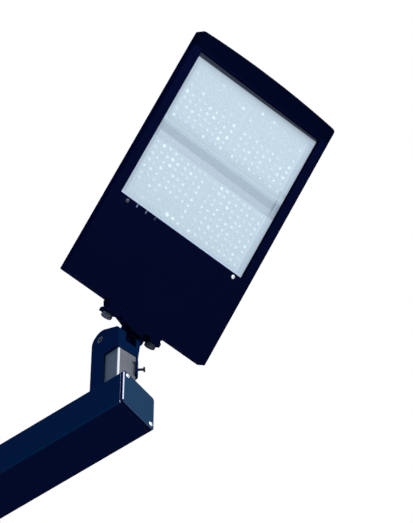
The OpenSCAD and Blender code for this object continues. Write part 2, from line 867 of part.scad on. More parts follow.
module driver_case(x0) {
    far = driver_y + driver_len;
    difference() {
        translate([x0, driver_y, floor_t + 2]) cube([driver_w, driver_len, driver_h]);
        for (y = [driver_y - 1, far - 5], x = [x0 - 1, x0 + driver_w - 7])
            translate([x, y, floor_t + 5]) cube([8, 6, driver_h]);
        for (i = [0 : 8])
            translate([x0 + 8, driver_y + 12 + i * (driver_len - 28) / 8,
                floor_t + driver_h + 1])
                cube([driver_w - 16, 4, 2]);
    }
}

module led_driver_rear() {
    color([0.75, 0.76, 0.78]) at_head() driver_case(driver_x[0]);
}

module led_driver_front() {
    color([0.75, 0.76, 0.78]) at_head() driver_case(driver_x[1]);
}

module surge_protector() {
    color([0.12, 0.13, 0.15]) at_head() translate([surge_x, surge_y, floor_t]) difference() {
        cube(surge_size);
        translate([14, 14, surge_size[2] - 2])
            cube([surge_size[0] - 28, surge_size[1] - 28, 3]);
    }
}

module terminal_block() {
    color([0.9, 0.9, 0.88]) at_head() translate([terminal_x, terminal_y, floor_t])
        difference() {
            cube(terminal_size);
            for (i = [0 : 4], x = [7, terminal_size[0] - 7])
                translate([x, 8 + i * terminal_pitch, terminal_size[2] - 8]) cylinder(r = 3, h = 10);
            for (i = [0 : 3])
                translate([-1, 13.5 + i * terminal_pitch, terminal_size[2] - 4])
                    cube([terminal_size[0] + 2, 1.5, 5]);
        }
}

module earth_screw() {
    color([0.8, 0.7, 0.35]) at_head() translate([earth_x, earth_y, floor_t + 9])
        pan_screw(cover_screw_r, 7, 5, 3.4);
}

// ---- light modules ----

module led_board(sx, sy) {
    x = trough_x + sx * module_x;
    y = sy * module_y;
    at_head() translate([x, y, 0]) {
        translate([-board_len / 2, -board_w / 2, led_z - board_t])
            cube([board_len, board_w, board_t]);
        for (i = [0 : led_rows - 1], j = [0 : led_columns - 1])
            translate([(i - (led_rows - 1) / 2) * led_pitch_x - chip / 2,
                (j - (led_columns - 1) / 2) * led_pitch_y - chip / 2, optic_z])
                cube([chip, chip, chip_h + eps]);
    }
}

module optic_array(sx, sy) {
    x = trough_x + sx * module_x;
    y = sy * module_y;
    // sphere radius for a cap of the given footprint and height
    r = (optic_r * optic_r + optic_h * optic_h) / (2 * optic_h);
    at_head() translate([x, y, 0]) difference() {
        union() {
            translate([-board_len / 2 + 2, -board_w / 2 + 2, optic_z - optic_plate_t])
                cube([board_len - 4, board_w - 4, optic_plate_t]);
            for (i = [0 : led_rows - 1], j = [0 : led_columns - 1])
                translate([(i - (led_rows - 1) / 2) * led_pitch_x,
                    (j - (led_columns - 1) / 2) * led_pitch_y,
                    optic_z - optic_plate_t - optic_h + r])
                    intersection() {
                        sphere(r);
                        translate([0, 0, -r - 1]) cylinder(r = optic_r + 1, h = 1 + optic_h + eps);
                    }
        }
    }
}

module led_board_near_left() { color([0.93, 0.94, 0.92]) led_board(-1, -1); }
module led_board_near_right() { color([0.93, 0.94, 0.92]) led_board(-1, 1); }
module led_board_far_left() { color([0.93, 0.94, 0.92]) led_board(1, -1); }
module led_board_far_right() { color([0.93, 0.94, 0.92]) led_board(1, 1); }
module optic_near_left() { color([0.85, 0.9, 0.95, 0.6]) optic_array(-1, -1); }
module optic_near_right() { color([0.85, 0.9, 0.95, 0.6]) optic_array(-1, 1); }
module optic_far_left() { color([0.85, 0.9, 0.95, 0.6]) optic_array(1, -1); }
module optic_far_right() { color([0.85, 0.9, 0.95, 0.6]) optic_array(1, 1); }

// ---- lens ----

module lens_side() {
    z0 = lens_depth;
    z1 = lens_depth + trough_depth;
    a = trough_x - trough_w / 2;
    b = trough_x + trough_w / 2;
    s = trough_slope_w;
    polygon([
        [lens_near, z0], [a - s, z0], [a, z1], [b, z1], [b + s, z0], [lens_far, z0],
        [lens_far, z0 + lens_t], [b + s, z0 + lens_t], [b, z1 + lens_t],
        [a, z1 + lens_t], [a - s, z0 + lens_t], [lens_near, z0 + lens_t]
    ]);
}

module lens() {
    edge = lens_half - cavity_half + 1;
    color([0.76, 0.84, 0.9, 0.5]) at_head() {
        across(-lens_half + edge - eps, lens_half - edge + eps) lens_side();
        // flat side edges shut the trough's ends
        for (y = [-lens_half, lens_half - edge])
            translate([lens_near, y, lens_depth])
                cube([lens_far - lens_near, edge, lens_t]);
    }
}

module lens_gasket() {
    color([0.72, 0.74, 0.86]) at_head() translate([0, 0, lens_depth + lens_t])
        linear_extrude(gasket_t) difference() {
            translate([lens_near + 0.5, -lens_half + 0.5])
                square([lens_far - lens_near - 1, 2 * lens_half - 1]);
            translate([cavity_x0 + 0.5, -cavity_half - 0.5])
                square([cavity_x1 - cavity_x0 - 1, 2 * cavity_half + 1]);
        }
}

module lens_clamp_bar() {
    w = half_window - 0.3;
    color([0.015, 0.03, 0.14]) at_head() difference() {
        union() {
            translate([bar_near + 0.3, -w, 0.4]) cube([bar_w - 0.6, 2 * w, lens_depth - 0.4]);
            for (i = [-bar_ribs : bar_ribs])
                translate([bar_x - 7, i * bar_rib_pitch - bar_rib_w / 2, 0.4 - bar_rib_h])
                    cube([14, bar_rib_w, bar_rib_h + eps]);
        }
        for (y = [-bar_screw_y, bar_screw_y])
            translate([bar_x, y, -1]) cylinder(r = cover_screw_r + hole_gap, h = 20);
    }
}

module clamp_bar_screws() {
    color([0.55, 0.57, 0.6]) at_head() for (y = [-bar_screw_y, bar_screw_y])
        translate([bar_x, y, 0.4]) rotate([180, 0, 0])
            pan_screw(cover_screw_r, lens_depth + 9, 4.6, 2.4);
}

pole_plate();
arm_tube();
end_cap();
cap_screws();
friction_washer();
turntable();
ring_nut();
tenon();
slip_fitter();
clamp_screw();
stop_bolt();
pivot_bolt();
pivot_washer();
knuckle_flange();
flange_bolts();
flange_washers();
wire_grommet();
housing();
driver_cover();
cover_gasket();
cover_screws();
breather_vent();
led_driver_front();
led_driver_rear();
surge_protector();
terminal_block();
earth_screw();
led_board_near_left();
led_board_near_right();
led_board_far_left();
led_board_far_right();
optic_near_left();
optic_near_right();
optic_far_left();
optic_far_right();
lens();
lens_gasket();
lens_clamp_bar();
clamp_bar_screws();
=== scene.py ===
import bpy
import bmesh
import json
import math
import random
from mathutils import Matrix, Vector


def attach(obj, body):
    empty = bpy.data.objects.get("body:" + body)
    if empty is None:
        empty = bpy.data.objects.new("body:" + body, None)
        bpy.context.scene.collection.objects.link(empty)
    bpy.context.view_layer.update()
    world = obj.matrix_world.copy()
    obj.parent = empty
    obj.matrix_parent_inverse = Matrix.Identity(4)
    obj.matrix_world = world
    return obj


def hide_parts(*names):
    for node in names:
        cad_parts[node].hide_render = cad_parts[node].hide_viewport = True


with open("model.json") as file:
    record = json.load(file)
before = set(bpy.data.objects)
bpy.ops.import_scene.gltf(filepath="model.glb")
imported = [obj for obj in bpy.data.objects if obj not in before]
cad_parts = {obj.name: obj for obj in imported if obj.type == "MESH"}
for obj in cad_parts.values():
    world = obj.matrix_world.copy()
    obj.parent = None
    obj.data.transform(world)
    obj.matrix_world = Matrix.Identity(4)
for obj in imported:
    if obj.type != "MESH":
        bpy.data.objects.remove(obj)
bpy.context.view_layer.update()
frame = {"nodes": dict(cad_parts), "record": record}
nodes = frame["nodes"]
mm = 0.001
print("frame loaded:", len(nodes), "nodes")

# places: the same frames as the solids use, in mm and degrees

place = {
    "armEnd": 501.5, "armHalf": 50.8, "armCorner": 6, "tenonX": 447, "yaw": -10.5,
    "pivotX": -24, "pivotZ": 172, "tilt": 45, "reach": 84, "rise": 18.5,
}


def turn(degrees, axis):
    return Matrix.Rotation(math.radians(degrees), 4, axis)


def shift(x, y, z):
    return Matrix.Translation((x * mm, y * mm, z * mm))


tenonFrame = shift(place["tenonX"], 0, place["armHalf"]) @ turn(place["yaw"], "Z")
pivotFrame = tenonFrame @ shift(place["pivotX"], 0, place["pivotZ"])
headFrame = pivotFrame @ turn(-place["tilt"], "Y") @ shift(place["reach"], 0, -place["rise"])

# camera: found from the arm's and the head's edges

cameraSet = {
    "place": (3.0342, -3.1001, -4.7649),
    "right": (0.7961, 0.6051, 0.0), "up": (0.4809, -0.6327, 0.6070),
    "lens": 206.5, "sensor": 36.0, "clip": 60,
}
right = Vector(cameraSet["right"]).normalized()
up = Vector(cameraSet["up"])
up = (up - right * up.dot(right)).normalized()
back = right.cross(up)
cameraData = bpy.data.cameras.new("camera")
cameraData.lens = cameraSet["lens"]
cameraData.sensor_width = cameraSet["sensor"]
cameraData.sensor_fit = "AUTO"
cameraData.clip_end = cameraSet["clip"]
camera = bpy.data.objects.new("camera", cameraData)
turned = Matrix((right, up, back)).transposed().to_4x4()
camera.matrix_world = Matrix.Translation(cameraSet["place"]) @ turned
bpy.context.collection.objects.link(camera)
bpy.context.scene.camera = camera
bpy.context.scene.view_settings.view_transform = "Standard"

# node helpers

nodeSpacing = 180  # between nodes in the shader editor


class Tree:
    # a thin wrapper that adds nodes and links in one call
    def __init__(self, tree):
        self.tree = tree
        self.column = 0

    def add(self, kind, inputs=None, **settings):
        node = self.tree.nodes.new(kind)
        self.column += nodeSpacing
        node.location = (self.column, 0)
        for name, value in settings.items():
            setattr(node, name, value)
        for name, value in (inputs or {}).items():
            self.feed(node.inputs[name], value)
        return node

    def find(self, kind):
        return next(n for n in self.tree.nodes if n.type == kind)

    def feed(self, socket, value):
        if isinstance(value, bpy.types.NodeSocket):
            self.tree.links.new(value, socket)
        else:
            socket.default_value = value

    def math(self, operation, a, b=0.0):
        return self.add("ShaderNodeMath", {0: a, 1: b}, operation=operation).outputs[0]

    def stretch(self, value, low, high, newLow=0.0, newHigh=1.0):
        return self.add("ShaderNodeMapRange", {
            "Value": value, "From Min": low, "From Max": high,
            "To Min": newLow, "To Max": newHigh}).outputs["Result"]

    def mix(self, factor, a, b):
        return self.add("ShaderNodeMix", {0: factor, 6: a, 7: b}, data_type="RGBA").outputs[2]

    def noise(self, scale, detail, rough, where):
        return self.add("ShaderNodeTexNoise", {
            "Scale": scale, "Detail": detail, "Roughness": rough, "Vector": where}).outputs[0]

    def where(self):
        return self.add("ShaderNodeTexCoord").outputs["Object"]


def newGroup(name, ins, outs):
    group = bpy.data.node_groups.new(name, "ShaderNodeTree")
    for label, kind, value in ins:
        socket = group.interface.new_socket(label, in_out="INPUT", socket_type=kind)
        socket.default_value = value
    for label, kind in outs:
        group.interface.new_socket(label, in_out="OUTPUT", socket_type=kind)
    tree = Tree(group)
    return group, tree, tree.add("NodeGroupInput").outputs, tree.add("NodeGroupOutput").inputs


floatIn, colorIn, vectorIn = "NodeSocketFloat", "NodeSocketColor", "NodeSocketVector"
surfaceOuts = [("Color", colorIn), ("Roughness", floatIn), ("Normal", vectorIn)]

edgeLook = {"samples": 6, "flat": 0.985, "sharp": 0.88}


def edgeOf(t, radius):
    # normal of an edge rounded by radius, and a mask that is 1 along such edges
    rounded = t.add("ShaderNodeBevel", {"Radius": radius}, samples=edgeLook["samples"]).outputs[0]
    flat = t.add("ShaderNodeNewGeometry").outputs["Normal"]
    facing = t.add("ShaderNodeVectorMath", {0: rounded, 1: flat}, operation="DOT_PRODUCT").outputs["Value"]
    return rounded, t.stretch(facing, edgeLook["flat"], edgeLook["sharp"])


coatLook = {"cloudScale": 9, "patchScale": 60, "grainDepth": 0.0004}


def makeCoatGroup():
    # powder coat: orange peel, cast grain, faint cloudiness and rubbed edges
    look = coatLook
    group, t, ins, outs = newGroup("coatSurface", [
        ("Color", colorIn, (0.1, 0.1, 0.1, 1)), ("Edge Color", colorIn, (0.3, 0.3, 0.3, 1)),
        ("Cloud", floatIn, 0.15), ("Wear", floatIn, 0.3), ("Roughness", floatIn, 0.45),
        ("Edge Radius", floatIn, 0.0012), ("Grain Scale", floatIn, 900.0), ("Grain", floatIn, 0.15),
    ], surfaceOuts)
    where = t.where()
    cloud = t.stretch(t.noise(look["cloudScale"], 4, 0.6, where), 0.3, 0.7)
    fine = t.noise(ins["Grain Scale"], 3, 0.6, where)
    tinted = t.mix(t.math("MULTIPLY", cloud, ins["Cloud"]), ins["Color"], ins["Edge Color"])
    rounded, edge = edgeOf(t, ins["Edge Radius"])
    patchy = t.stretch(t.noise(look["patchScale"], 3, 0.6, where), 0.3, 0.6)
    worn = t.math("MULTIPLY", t.math("MULTIPLY", edge, patchy), ins["Wear"])
    t.feed(outs["Color"], t.mix(worn, tinted, ins["Edge Color"]))
    t.feed(outs["Roughness"], t.math("ADD", ins["Roughness"], t.stretch(fine, 0.2, 0.8, -0.04, 0.06)))
    t.feed(outs["Normal"], t.add("ShaderNodeBump", {
        "Strength": ins["Grain"], "Distance": look["grainDepth"], "Height": fine,
        "Normal": rounded}).outputs[0])
    return group


brushLook = {"blotScale": 25, "lineStrength": 0.15, "lineDepth": 0.0002}


def makeBrushGroup():
    # metal drawn or brushed along one axis, with stains
    look = brushLook
    group, t, ins, outs = newGroup("brushedMetal", [
        ("Color", colorIn, (0.6, 0.6, 0.6, 1)), ("Stain Color", colorIn, (0.1, 0.12, 0.15, 1)),
        ("Streak", floatIn, 0.3), ("Stain", floatIn, 0.15),
        ("Stretch X", floatIn, 600.0), ("Stretch Y", floatIn, 600.0), ("Stretch Z", floatIn, 6.0),
        ("Roughness", floatIn, 0.35), ("Edge Radius", floatIn, 0.0006),
        ("Edge Color", colorIn, (0.8, 0.82, 0.85, 1)), ("Wear", floatIn, 0.3),
    ], surfaceOuts)
    where = t.where()
    scale = t.add("ShaderNodeCombineXYZ", {
        "X": ins["Stretch X"], "Y": ins["Stretch Y"], "Z": ins["Stretch Z"]}).outputs[0]
    drawn = t.add("ShaderNodeVectorMath", {0: where, 1: scale}, operation="MULTIPLY").outputs[0]
    lines = t.stretch(t.noise(1, 4, 0.65, drawn), 0.25, 0.75)
    blot = t.stretch(t.noise(look["blotScale"], 3, 0.5, where), 0.35, 0.7)
    shaded = t.mix(t.math("MULTIPLY", lines, ins["Streak"]), ins["Color"], ins["Stain Color"])
    stained = t.mix(t.math("MULTIPLY", blot, ins["Stain"]), shaded, ins["Stain Color"])
    rounded, edge = edgeOf(t, ins["Edge Radius"])
    t.feed(outs["Color"], t.mix(t.math("MULTIPLY", edge, ins["Wear"]), stained, ins["Edge Color"]))
    t.feed(outs["Roughness"], t.math("ADD", ins["Roughness"], t.stretch(lines, 0, 1, -0.08, 0.12)))
    t.feed(outs["Normal"], t.add("ShaderNodeBump", {
        "Strength": look["lineStrength"], "Distance": look["lineDepth"], "Height": lines,
        "Normal": rounded}).outputs[0])
    return group


mouldLook = {
    "mottleScale": 40, "mottleColor": (0.5, 0.52, 0.55, 1), "grainStrength": 0.12, "grainDepth": 0.0002,
}


def makeMouldGroup():
    # moulded plastic, rubber and solder mask: fine grain and slight mottling
    look = mouldLook
    group, t, ins, outs = newGroup("mouldedSurface", [
        ("Color", colorIn, (0.05, 0.05, 0.05, 1)), ("Grain Scale", floatIn, 1500.0),
        ("Mottle", floatIn, 0.15), ("Roughness", floatIn, 0.6),
    ], surfaceOuts)
    where = t.where()
    grain = t.noise(ins["Grain Scale"], 2, 0.5, where)
    mottle = t.stretch(t.noise(look["mottleScale"], 4, 0.6, where), 0.3, 0.7)
    t.feed(outs["Color"], t.mix(t.math("MULTIPLY", mottle, ins["Mottle"]), ins["Color"], look["mottleColor"]))
    t.feed(outs["Roughness"], t.math("ADD", ins["Roughness"], t.stretch(grain, 0.2, 0.8, -0.05, 0.08)))
    t.feed(outs["Normal"], t.add("ShaderNodeBump", {
        "Strength": look["grainStrength"], "Distance": look["grainDepth"], "Height": grain}).outputs[0])
    return group


def makePlaceGroup(name, partFrame):
    # where a point lies on one part at rest, in mm along that part's own axes
    labels = ("Along", "Across", "Height")
    group, t, ins, outs = newGroup(name, [], [(label, floatIn) for label in labels])
    inverse = partFrame.inverted()
    turned = t.add("ShaderNodeMapping", {
        "Vector": t.where(), "Location": inverse.translation, "Rotation": inverse.to_euler()}).outputs[0]
    for label, part in zip(labels, t.add("ShaderNodeSeparateXYZ", {0: turned}).outputs):
        t.feed(outs[label], t.math("DIVIDE", part, mm))
    return group


coatGroup = makeCoatGroup()
brushGroup = makeBrushGroup()
mouldGroup = makeMouldGroup()
placeGroups = {
    "arm": makePlaceGroup("armPlace", Matrix()),
    "tenon": makePlaceGroup("tenonPlace", tenonFrame),
    "head": makePlaceGroup("headPlace", headFrame),
}


def placeOn(t, part):
    return t.add("ShaderNodeGroup", node_tree=placeGroups[part]).outputs


def band(t, value, low, high, soft=0.5):
    # 1 between low and high
    rise = t.stretch(value, low - soft, low + soft)
    fall = t.stretch(value, high + soft, high - soft)
    return t.math("MINIMUM", rise, fall)


def newMaterial(name, group, values, shader=None):
    # returns the material, its tree, its shader node and the group's outputs
    material = bpy.data.materials.new(name)
    material.use_nodes = True
    t = Tree(material.node_tree)
    principled = t.find("BSDF_PRINCIPLED")
    surface = t.add("ShaderNodeGroup", node_tree=group)
    for label, value in values.items():
        surface.inputs[label].default_value = value
    t.feed(principled.inputs["Base Color"], surface.outputs["Color"])
    t.feed(principled.inputs["Roughness"], surface.outputs["Roughness"])
    t.feed(principled.inputs["Normal"], surface.outputs["Normal"])
    for label, value in (shader or {}).items():
        principled.inputs[label].default_value = value
    return material, t, principled, surface.outputs


def rgb(red, green, blue):
    # screen values 0..255 to a linear colour
    def linear(v):
        v = v / 255
        return v / 12.92 if v <= 0.04045 else ((v + 0.055) / 1.055) ** 2.4
    return (linear(red), linear(green), linear(blue), 1)


# materials

paints = {}

coats = {
    "armPaint": {"Color": rgb(2, 23, 55), "Edge Color": rgb(34, 58, 100), "Cloud": 0.02, "Wear": 0.35},
    "fitterPaint": {"Color": rgb(5, 25, 57), "Edge Color": rgb(30, 54, 92), "Cloud": 0.03, "Wear": 0.25,
                    "Grain Scale": 420.0, "Grain": 0.3},
    "housingPaint": {"Color": rgb(4, 8, 35), "Edge Color": rgb(22, 38, 72), "Cloud": 0.015, "Wear": 0.2,
                     "Grain Scale": 520.0, "Grain": 0.25},
}
coatShine = {"Metallic": 0.5, "Specular IOR Level": 0.0, "Specular Tint": (0.1, 0.2, 0.45, 1)}
for name, values in coats.items():
    paints[name] = newMaterial(name, coatGroup, values, coatShine)[0]

metals = {
    "zinc": {"Color": rgb(228, 234, 242), "Streak": 0.2, "Stretch Z": 200.0, "Roughness": 0.3},
    "turnedDisc": {"Color": rgb(132, 139, 148), "Streak": 0.3, "Stretch Z": 900.0, "Roughness": 0.4},
    "boltSteel": {"Color": rgb(58, 68, 86), "Streak": 0.6, "Stretch Z": 300.0, "Roughness": 0.42,
                  "Edge Color": rgb(112, 124, 142), "Wear": 0.7},
    # a shaded copy of the bolt steel: painted shade for the right flange bolt
    "grimySteel": {"Color": rgb(12, 18, 38), "Streak": 0.5, "Stretch Z": 300.0, "Roughness": 0.5,
                   "Edge Color": rgb(90, 102, 130), "Wear": 0.5},
    "darkSteel": {"Color": rgb(8, 13, 36), "Streak": 0.3, "Stretch Z": 300.0, "Roughness": 0.5,
                  "Edge Color": rgb(40, 52, 78), "Wear": 0.3},
    "brassScrew": {"Color": rgb(190, 160, 90), "Streak": 0.2, "Stretch Z": 200.0, "Roughness": 0.35},
    "driverCase": {"Color": rgb(178, 181, 186), "Streak": 0.25, "Stretch Y": 8.0, "Stretch Z": 600.0,
                   "Roughness": 0.4},
}
metalShine = {"metallic": 0.85, "plainTint": (1, 1, 1, 1), "steelTint": (0.2, 0.25, 0.35, 1)}
for name, values in metals.items():
    tint = metalShine["steelTint" if "Steel" in name else "plainTint"]
    paints[name] = newMaterial(name, brushGroup, values, {
        "Metallic": metalShine["metallic"], "Specular Tint": tint})[0]

moulded = {
    "blackSeal": {"Color": rgb(26, 27, 30), "Mottle": 0.05, "Roughness": 0.7},
    "paleSeal": {"Color": rgb(176, 196, 214), "Mottle": 0.04, "Roughness": 0.55},
    "blackPlastic": {"Color": rgb(30, 33, 38), "Mottle": 0.06, "Roughness": 0.5},
    "palePlastic": {"Color": rgb(226, 226, 220), "Mottle": 0.04, "Roughness": 0.5},
    "board": {"Color": rgb(200, 218, 232), "Mottle": 0.03, "Grain Scale": 700.0, "Roughness": 0.45},
    "optic": {"Color": rgb(206, 222, 236), "Mottle": 0.02, "Grain Scale": 500.0, "Roughness": 0.2},
}
for name, values in moulded.items():
    paints[name] = newMaterial(name, mouldGroup, values)[0]

# tenon: a painted shade colour for its left face, a painted patch of light beside the clamp ear and a painted
# highlight colour for its front corner
tenonMetal = {
    "surface": {"Color": rgb(107, 110, 118), "Stain Color": rgb(66, 72, 84), "Streak": 0.7, "Roughness": 0.5,
                "Edge Radius": 0.001, "Wear": 0.2},
    "shine": {"Metallic": 0.15, "Specular IOR Level": 0.05}, "half": 25.0,
    "shadedFace": rgb(60, 77, 100), "shadedFaceFrom": -23.0, "shadedFaceTo": -24.6,
    "line": (0.02, 0.025, 0.035, 1), "lineScale": 500, "lineShare": 0.35,
    "lightPatch": rgb(176, 186, 204), "lightPatchShare": 0.75, "lightPatchFrom": 12.5, "lightPatchTo": 16.5,
    "lightPatchLow": 64.0, "lightPatchHigh": 100.0, "lightPatchSoft": 6.0,
    "glint": rgb(203, 212, 217), "glintWidth": 3.4, "glintSoft": 0.6,
}


def makeTenonMaterial():
    # drawn aluminium with painted light: its left face painted darker as shaded, a painted highlight along
    # its front corner and a painted patch of light beside the clamp ear that lightens the ear's shadow
    s = tenonMetal
    material, t, principled, surface = newMaterial("drawnAluminium", brushGroup, s["surface"], s["shine"])
    at = placeOn(t, "tenon")
    along = t.add("ShaderNodeCombineXYZ", {"X": t.math("MULTIPLY", at["Along"], mm)}).outputs[0]
    lines = t.stretch(t.noise(s["lineScale"], 3, 0.6, along), 0.3, 0.8, 0.0, s["lineShare"])
    # painted shade: the left face darker, with its streaks
    shadedSide = t.stretch(at["Across"], s["shadedFaceFrom"], s["shadedFaceTo"])
    tint = t.mix(shadedSide, surface["Color"], t.mix(lines, s["shadedFace"], s["line"]))
    # painted light: a patch beside the clamp ear that lightens the ear's shadow
    litAcross = t.stretch(at["Across"], s["lightPatchFrom"], s["lightPatchTo"], 0.0, s["lightPatchShare"])
    level = band(t, at["Height"], s["lightPatchLow"], s["lightPatchHigh"], s["lightPatchSoft"])
    tint = t.mix(t.math("MULTIPLY", litAcross, level), tint, s["lightPatch"])
    # painted highlight along the front left corner
    front, side = t.math("SUBTRACT", s["half"], at["Along"]), t.math("ADD", s["half"], at["Across"])
    glint = t.stretch(t.math("MAXIMUM", front, side), s["glintWidth"] + s["glintSoft"],
                       s["glintWidth"] - s["glintSoft"])
    t.feed(principled.inputs["Base Color"], t.mix(glint, tint, s["glint"]))
    return material


chamber = {
    "near": 217.0, "far": 566.0, "half": 164.5, "low": 16.4, "high": 23.1, "edge": 0.1,
    "white": rgb(226, 238, 247), "rail": rgb(2, 5, 25), "railFrom": 575.0, "railSoft": 3,
}


def makeCastMaterial():
    # the housing's coat, darker on its far rail, with the light chamber's white inside
    s = chamber
    material, t, principled, surface = newMaterial("housingCast", coatGroup, coats["housingPaint"], coatShine)
    at = placeOn(t, "head")
    inside = t.math("MINIMUM", band(t, at["Along"], s["near"], s["far"], s["edge"]),
                    band(t, at["Height"], s["low"], s["high"], s["edge"]))
    inside = t.math("MINIMUM", inside, band(t, at["Across"], -s["half"], s["half"], s["edge"]))
    rail = t.stretch(at["Along"], s["railFrom"] - s["railSoft"], s["railFrom"] + s["railSoft"])
    coat = t.mix(rail, surface["Color"], s["rail"])
    t.feed(principled.inputs["Base Color"], t.mix(inside, coat, s["white"]))
    return material


# arm: the underside colour is painted shade and the bright edge colour is a painted highlight
armLook = {
    "side": rgb(4, 27, 56), "share": 0.85, "under": rgb(7, 16, 53), "underFrom": 2.5, "underTo": 0.5,
    "lip": rgb(120, 134, 156), "lipFrom": 458.0, "lipTo": 493.0, "lipSoft": 2.0,
    "lipLow": 4.5, "lipHigh": 3, "lipInner": -40.0, "lipOuter": -44.0,
}


def makeArmMaterial():
    # the arm's coat with painted shade underneath, violet and darker where less light reaches, and a painted
    # highlight along its upper left edge beside the tenon
    s = armLook
    material, t, principled, surface = newMaterial("armCoat", coatGroup, coats["armPaint"], coatShine)
    at = placeOn(t, "arm")
    # painted shade: the underside darker and more violet
    under = t.stretch(at["Height"], s["underFrom"] - place["armHalf"], s["underTo"] - place["armHalf"])
    tint = t.mix(s["share"], surface["Color"], t.mix(under, s["side"], s["under"]))
    # painted highlight along the upper left edge beside the tenon
    upper = t.stretch(at["Height"], place["armHalf"] - s["lipLow"], place["armHalf"] - s["lipHigh"])
    lip = t.math("MULTIPLY", upper, t.stretch(at["Across"], s["lipInner"], s["lipOuter"]))
    lip = t.math("MULTIPLY", lip, band(t, at["Along"], s["lipFrom"], s["lipTo"], s["lipSoft"]))
    t.feed(principled.inputs["Base Color"], t.mix(lip, tint, s["lip"]))
    return material


# cap: its paler face and darker rim are painted light and shade; the bright edge colours are painted
# highlights
capLook = {
    "surface": {"Color": rgb(34, 60, 85), "Edge Color": rgb(52, 76, 104), "Cloud": 0.03, "Wear": 0.1},
    "side": rgb(3, 14, 44), "sideTo": 0.6, "faceFrom": 0.2, "fade": 0.6,
    "lip": rgb(214, 220, 244), "lipWidth": 2.3, "lipEnd": 43.0, "lipSoft": 1.5,
    "foot": rgb(66, 78, 112), "footWidth": 1.0,
}


def makeCapMaterial():
    # painted light: the cap's face is pale as if lit from the front and its rim dark as if shaded; painted
    # highlights run along its left edge and faintly along its foot
    s = capLook
    material, t, principled, surface = newMaterial("capCoat", coatGroup, s["surface"], coatShine)
    at = placeOn(t, "arm")
    # painted light and shade: pale face, dark rim
    face = t.stretch(at["Along"], place["armEnd"] - s["sideTo"], place["armEnd"] - s["faceFrom"])
    tint = t.mix(face, s["side"], surface["Color"])
    behind = t.math("SUBTRACT", place["armEnd"], at["Along"])

    # a painted highlight along one edge of the cap's face
    def highlightEdge(across, width):
        inward = t.math("ADD", across, place["armHalf"])
        return t.stretch(t.math("MAXIMUM", behind, inward), width, width * s["fade"])
    ends = t.stretch(t.math("ABSOLUTE", at["Height"]), s["lipEnd"] + s["lipSoft"], s["lipEnd"])
    lip = t.math("MULTIPLY", highlightEdge(at["Across"], s["lipWidth"]), ends)
    tint = t.mix(lip, tint, s["lip"])
    tint = t.mix(highlightEdge(at["Height"], s["footWidth"]), tint, s["foot"])
    t.feed(principled.inputs["Base Color"], tint)
    return material


sealantLook = {
    "surface": {"Color": rgb(6, 18, 48), "Mottle": 0.02, "Roughness": 0.6},
    "shine": {"Specular IOR Level": 0.1},
    "pale": rgb(112, 124, 160), "side": -50.2, "sideSoft": 0.4, "patchScale": 160, "patchLeast": 0.35,
    "end": rgb(216, 222, 244), "endFrom": -48.5, "endTo": -43.0, "endSoft": 0.4,
}


def makeSealantMaterial():
    # sealant: dark all round, paler in patches along the left side and brightest near its lower end
    s = sealantLook
    material, t, principled, surface = newMaterial("sealant", mouldGroup, s["surface"], s["shine"])
    at = placeOn(t, "arm")
    side = t.stretch(at["Across"], s["side"] + s["sideSoft"], s["side"])
    patchy = t.stretch(t.noise(s["patchScale"], 3, 0.6, t.where()), 0.3, 0.6, s["patchLeast"], 1.0)
    tint = t.mix(t.math("MULTIPLY", side, patchy), surface["Color"], s["pale"])
    tint = t.mix(band(t, at["Height"], s["endFrom"], s["endTo"], s["endSoft"]), tint, s["end"])
    t.feed(principled.inputs["Base Color"], tint)
    return material


# bar: the bright rib colour is a painted highlight
barLook = {
    "glint": rgb(112, 138, 168), "from": -140.0, "to": -62.0, "ribHeight": 0.35, "ribSoft": 0.2,
    "start": 200.5, "startSoft": 1,
}


def makeBarMaterial():
    # the bar's coat, with painted highlights on its ribs towards its left end
    s = barLook
    material, t, principled, surface = newMaterial("barCoat", coatGroup, coats["housingPaint"], coatShine)
    at = placeOn(t, "head")
    # painted highlight on the ribs, fading from the left end
    rib = t.stretch(at["Height"], s["ribHeight"], s["ribHeight"] - s["ribSoft"])
    fade = t.stretch(at["Across"], s["to"], s["from"])
    behind = t.stretch(at["Along"], s["start"] - s["startSoft"], s["start"] + s["startSoft"])
    glint = t.math("MULTIPLY", t.math("MULTIPLY", rib, fade), behind)
    t.feed(principled.inputs["Base Color"], t.mix(glint, surface["Color"], s["glint"]))
    return material


# lens: its glow is painted light, and several of its bands are painted shade and light
lens = {
    "surface": {"Color": rgb(195, 212, 223), "Mottle": 0.0, "Grain Scale": 300.0, "Roughness": 0.14},
    "shine": {"IOR": 1.45, "Specular IOR Level": 0.1, "Emission Strength": 0.5}, "alpha": 0.5, "base": 0.5,
    "along": ((361.0, 378.5, rgb(172, 188, 202)), (378.5, 399.0, rgb(162, 179, 194)),
              (399.0, 405.0, rgb(183, 201, 214)), (405.0, 414.0, rgb(199, 217, 229)),
              (417.0, 427.0, rgb(189, 206, 218)), (190.0, 218.5, rgb(208, 226, 246)),
              (551.0, 556.5, rgb(203, 220, 234))),
    "across": ((-176.0, -161.5, rgb(187, 204, 218)), (161.5, 176.0, rgb(199, 216, 231)),
               (156.5, 160.5, rgb(209, 227, 239)), (-2.5, 2.5, rgb(201, 219, 230))),
    "bandSoft": 1.2, "rim": rgb(174, 191, 205), "rimFrom": 556.5, "rimSoft": 1,
    "seal": rgb(58, 66, 84), "sealFrom": 564.6, "sealSoft": 0.6, "sealSlant": 0.0146,
}


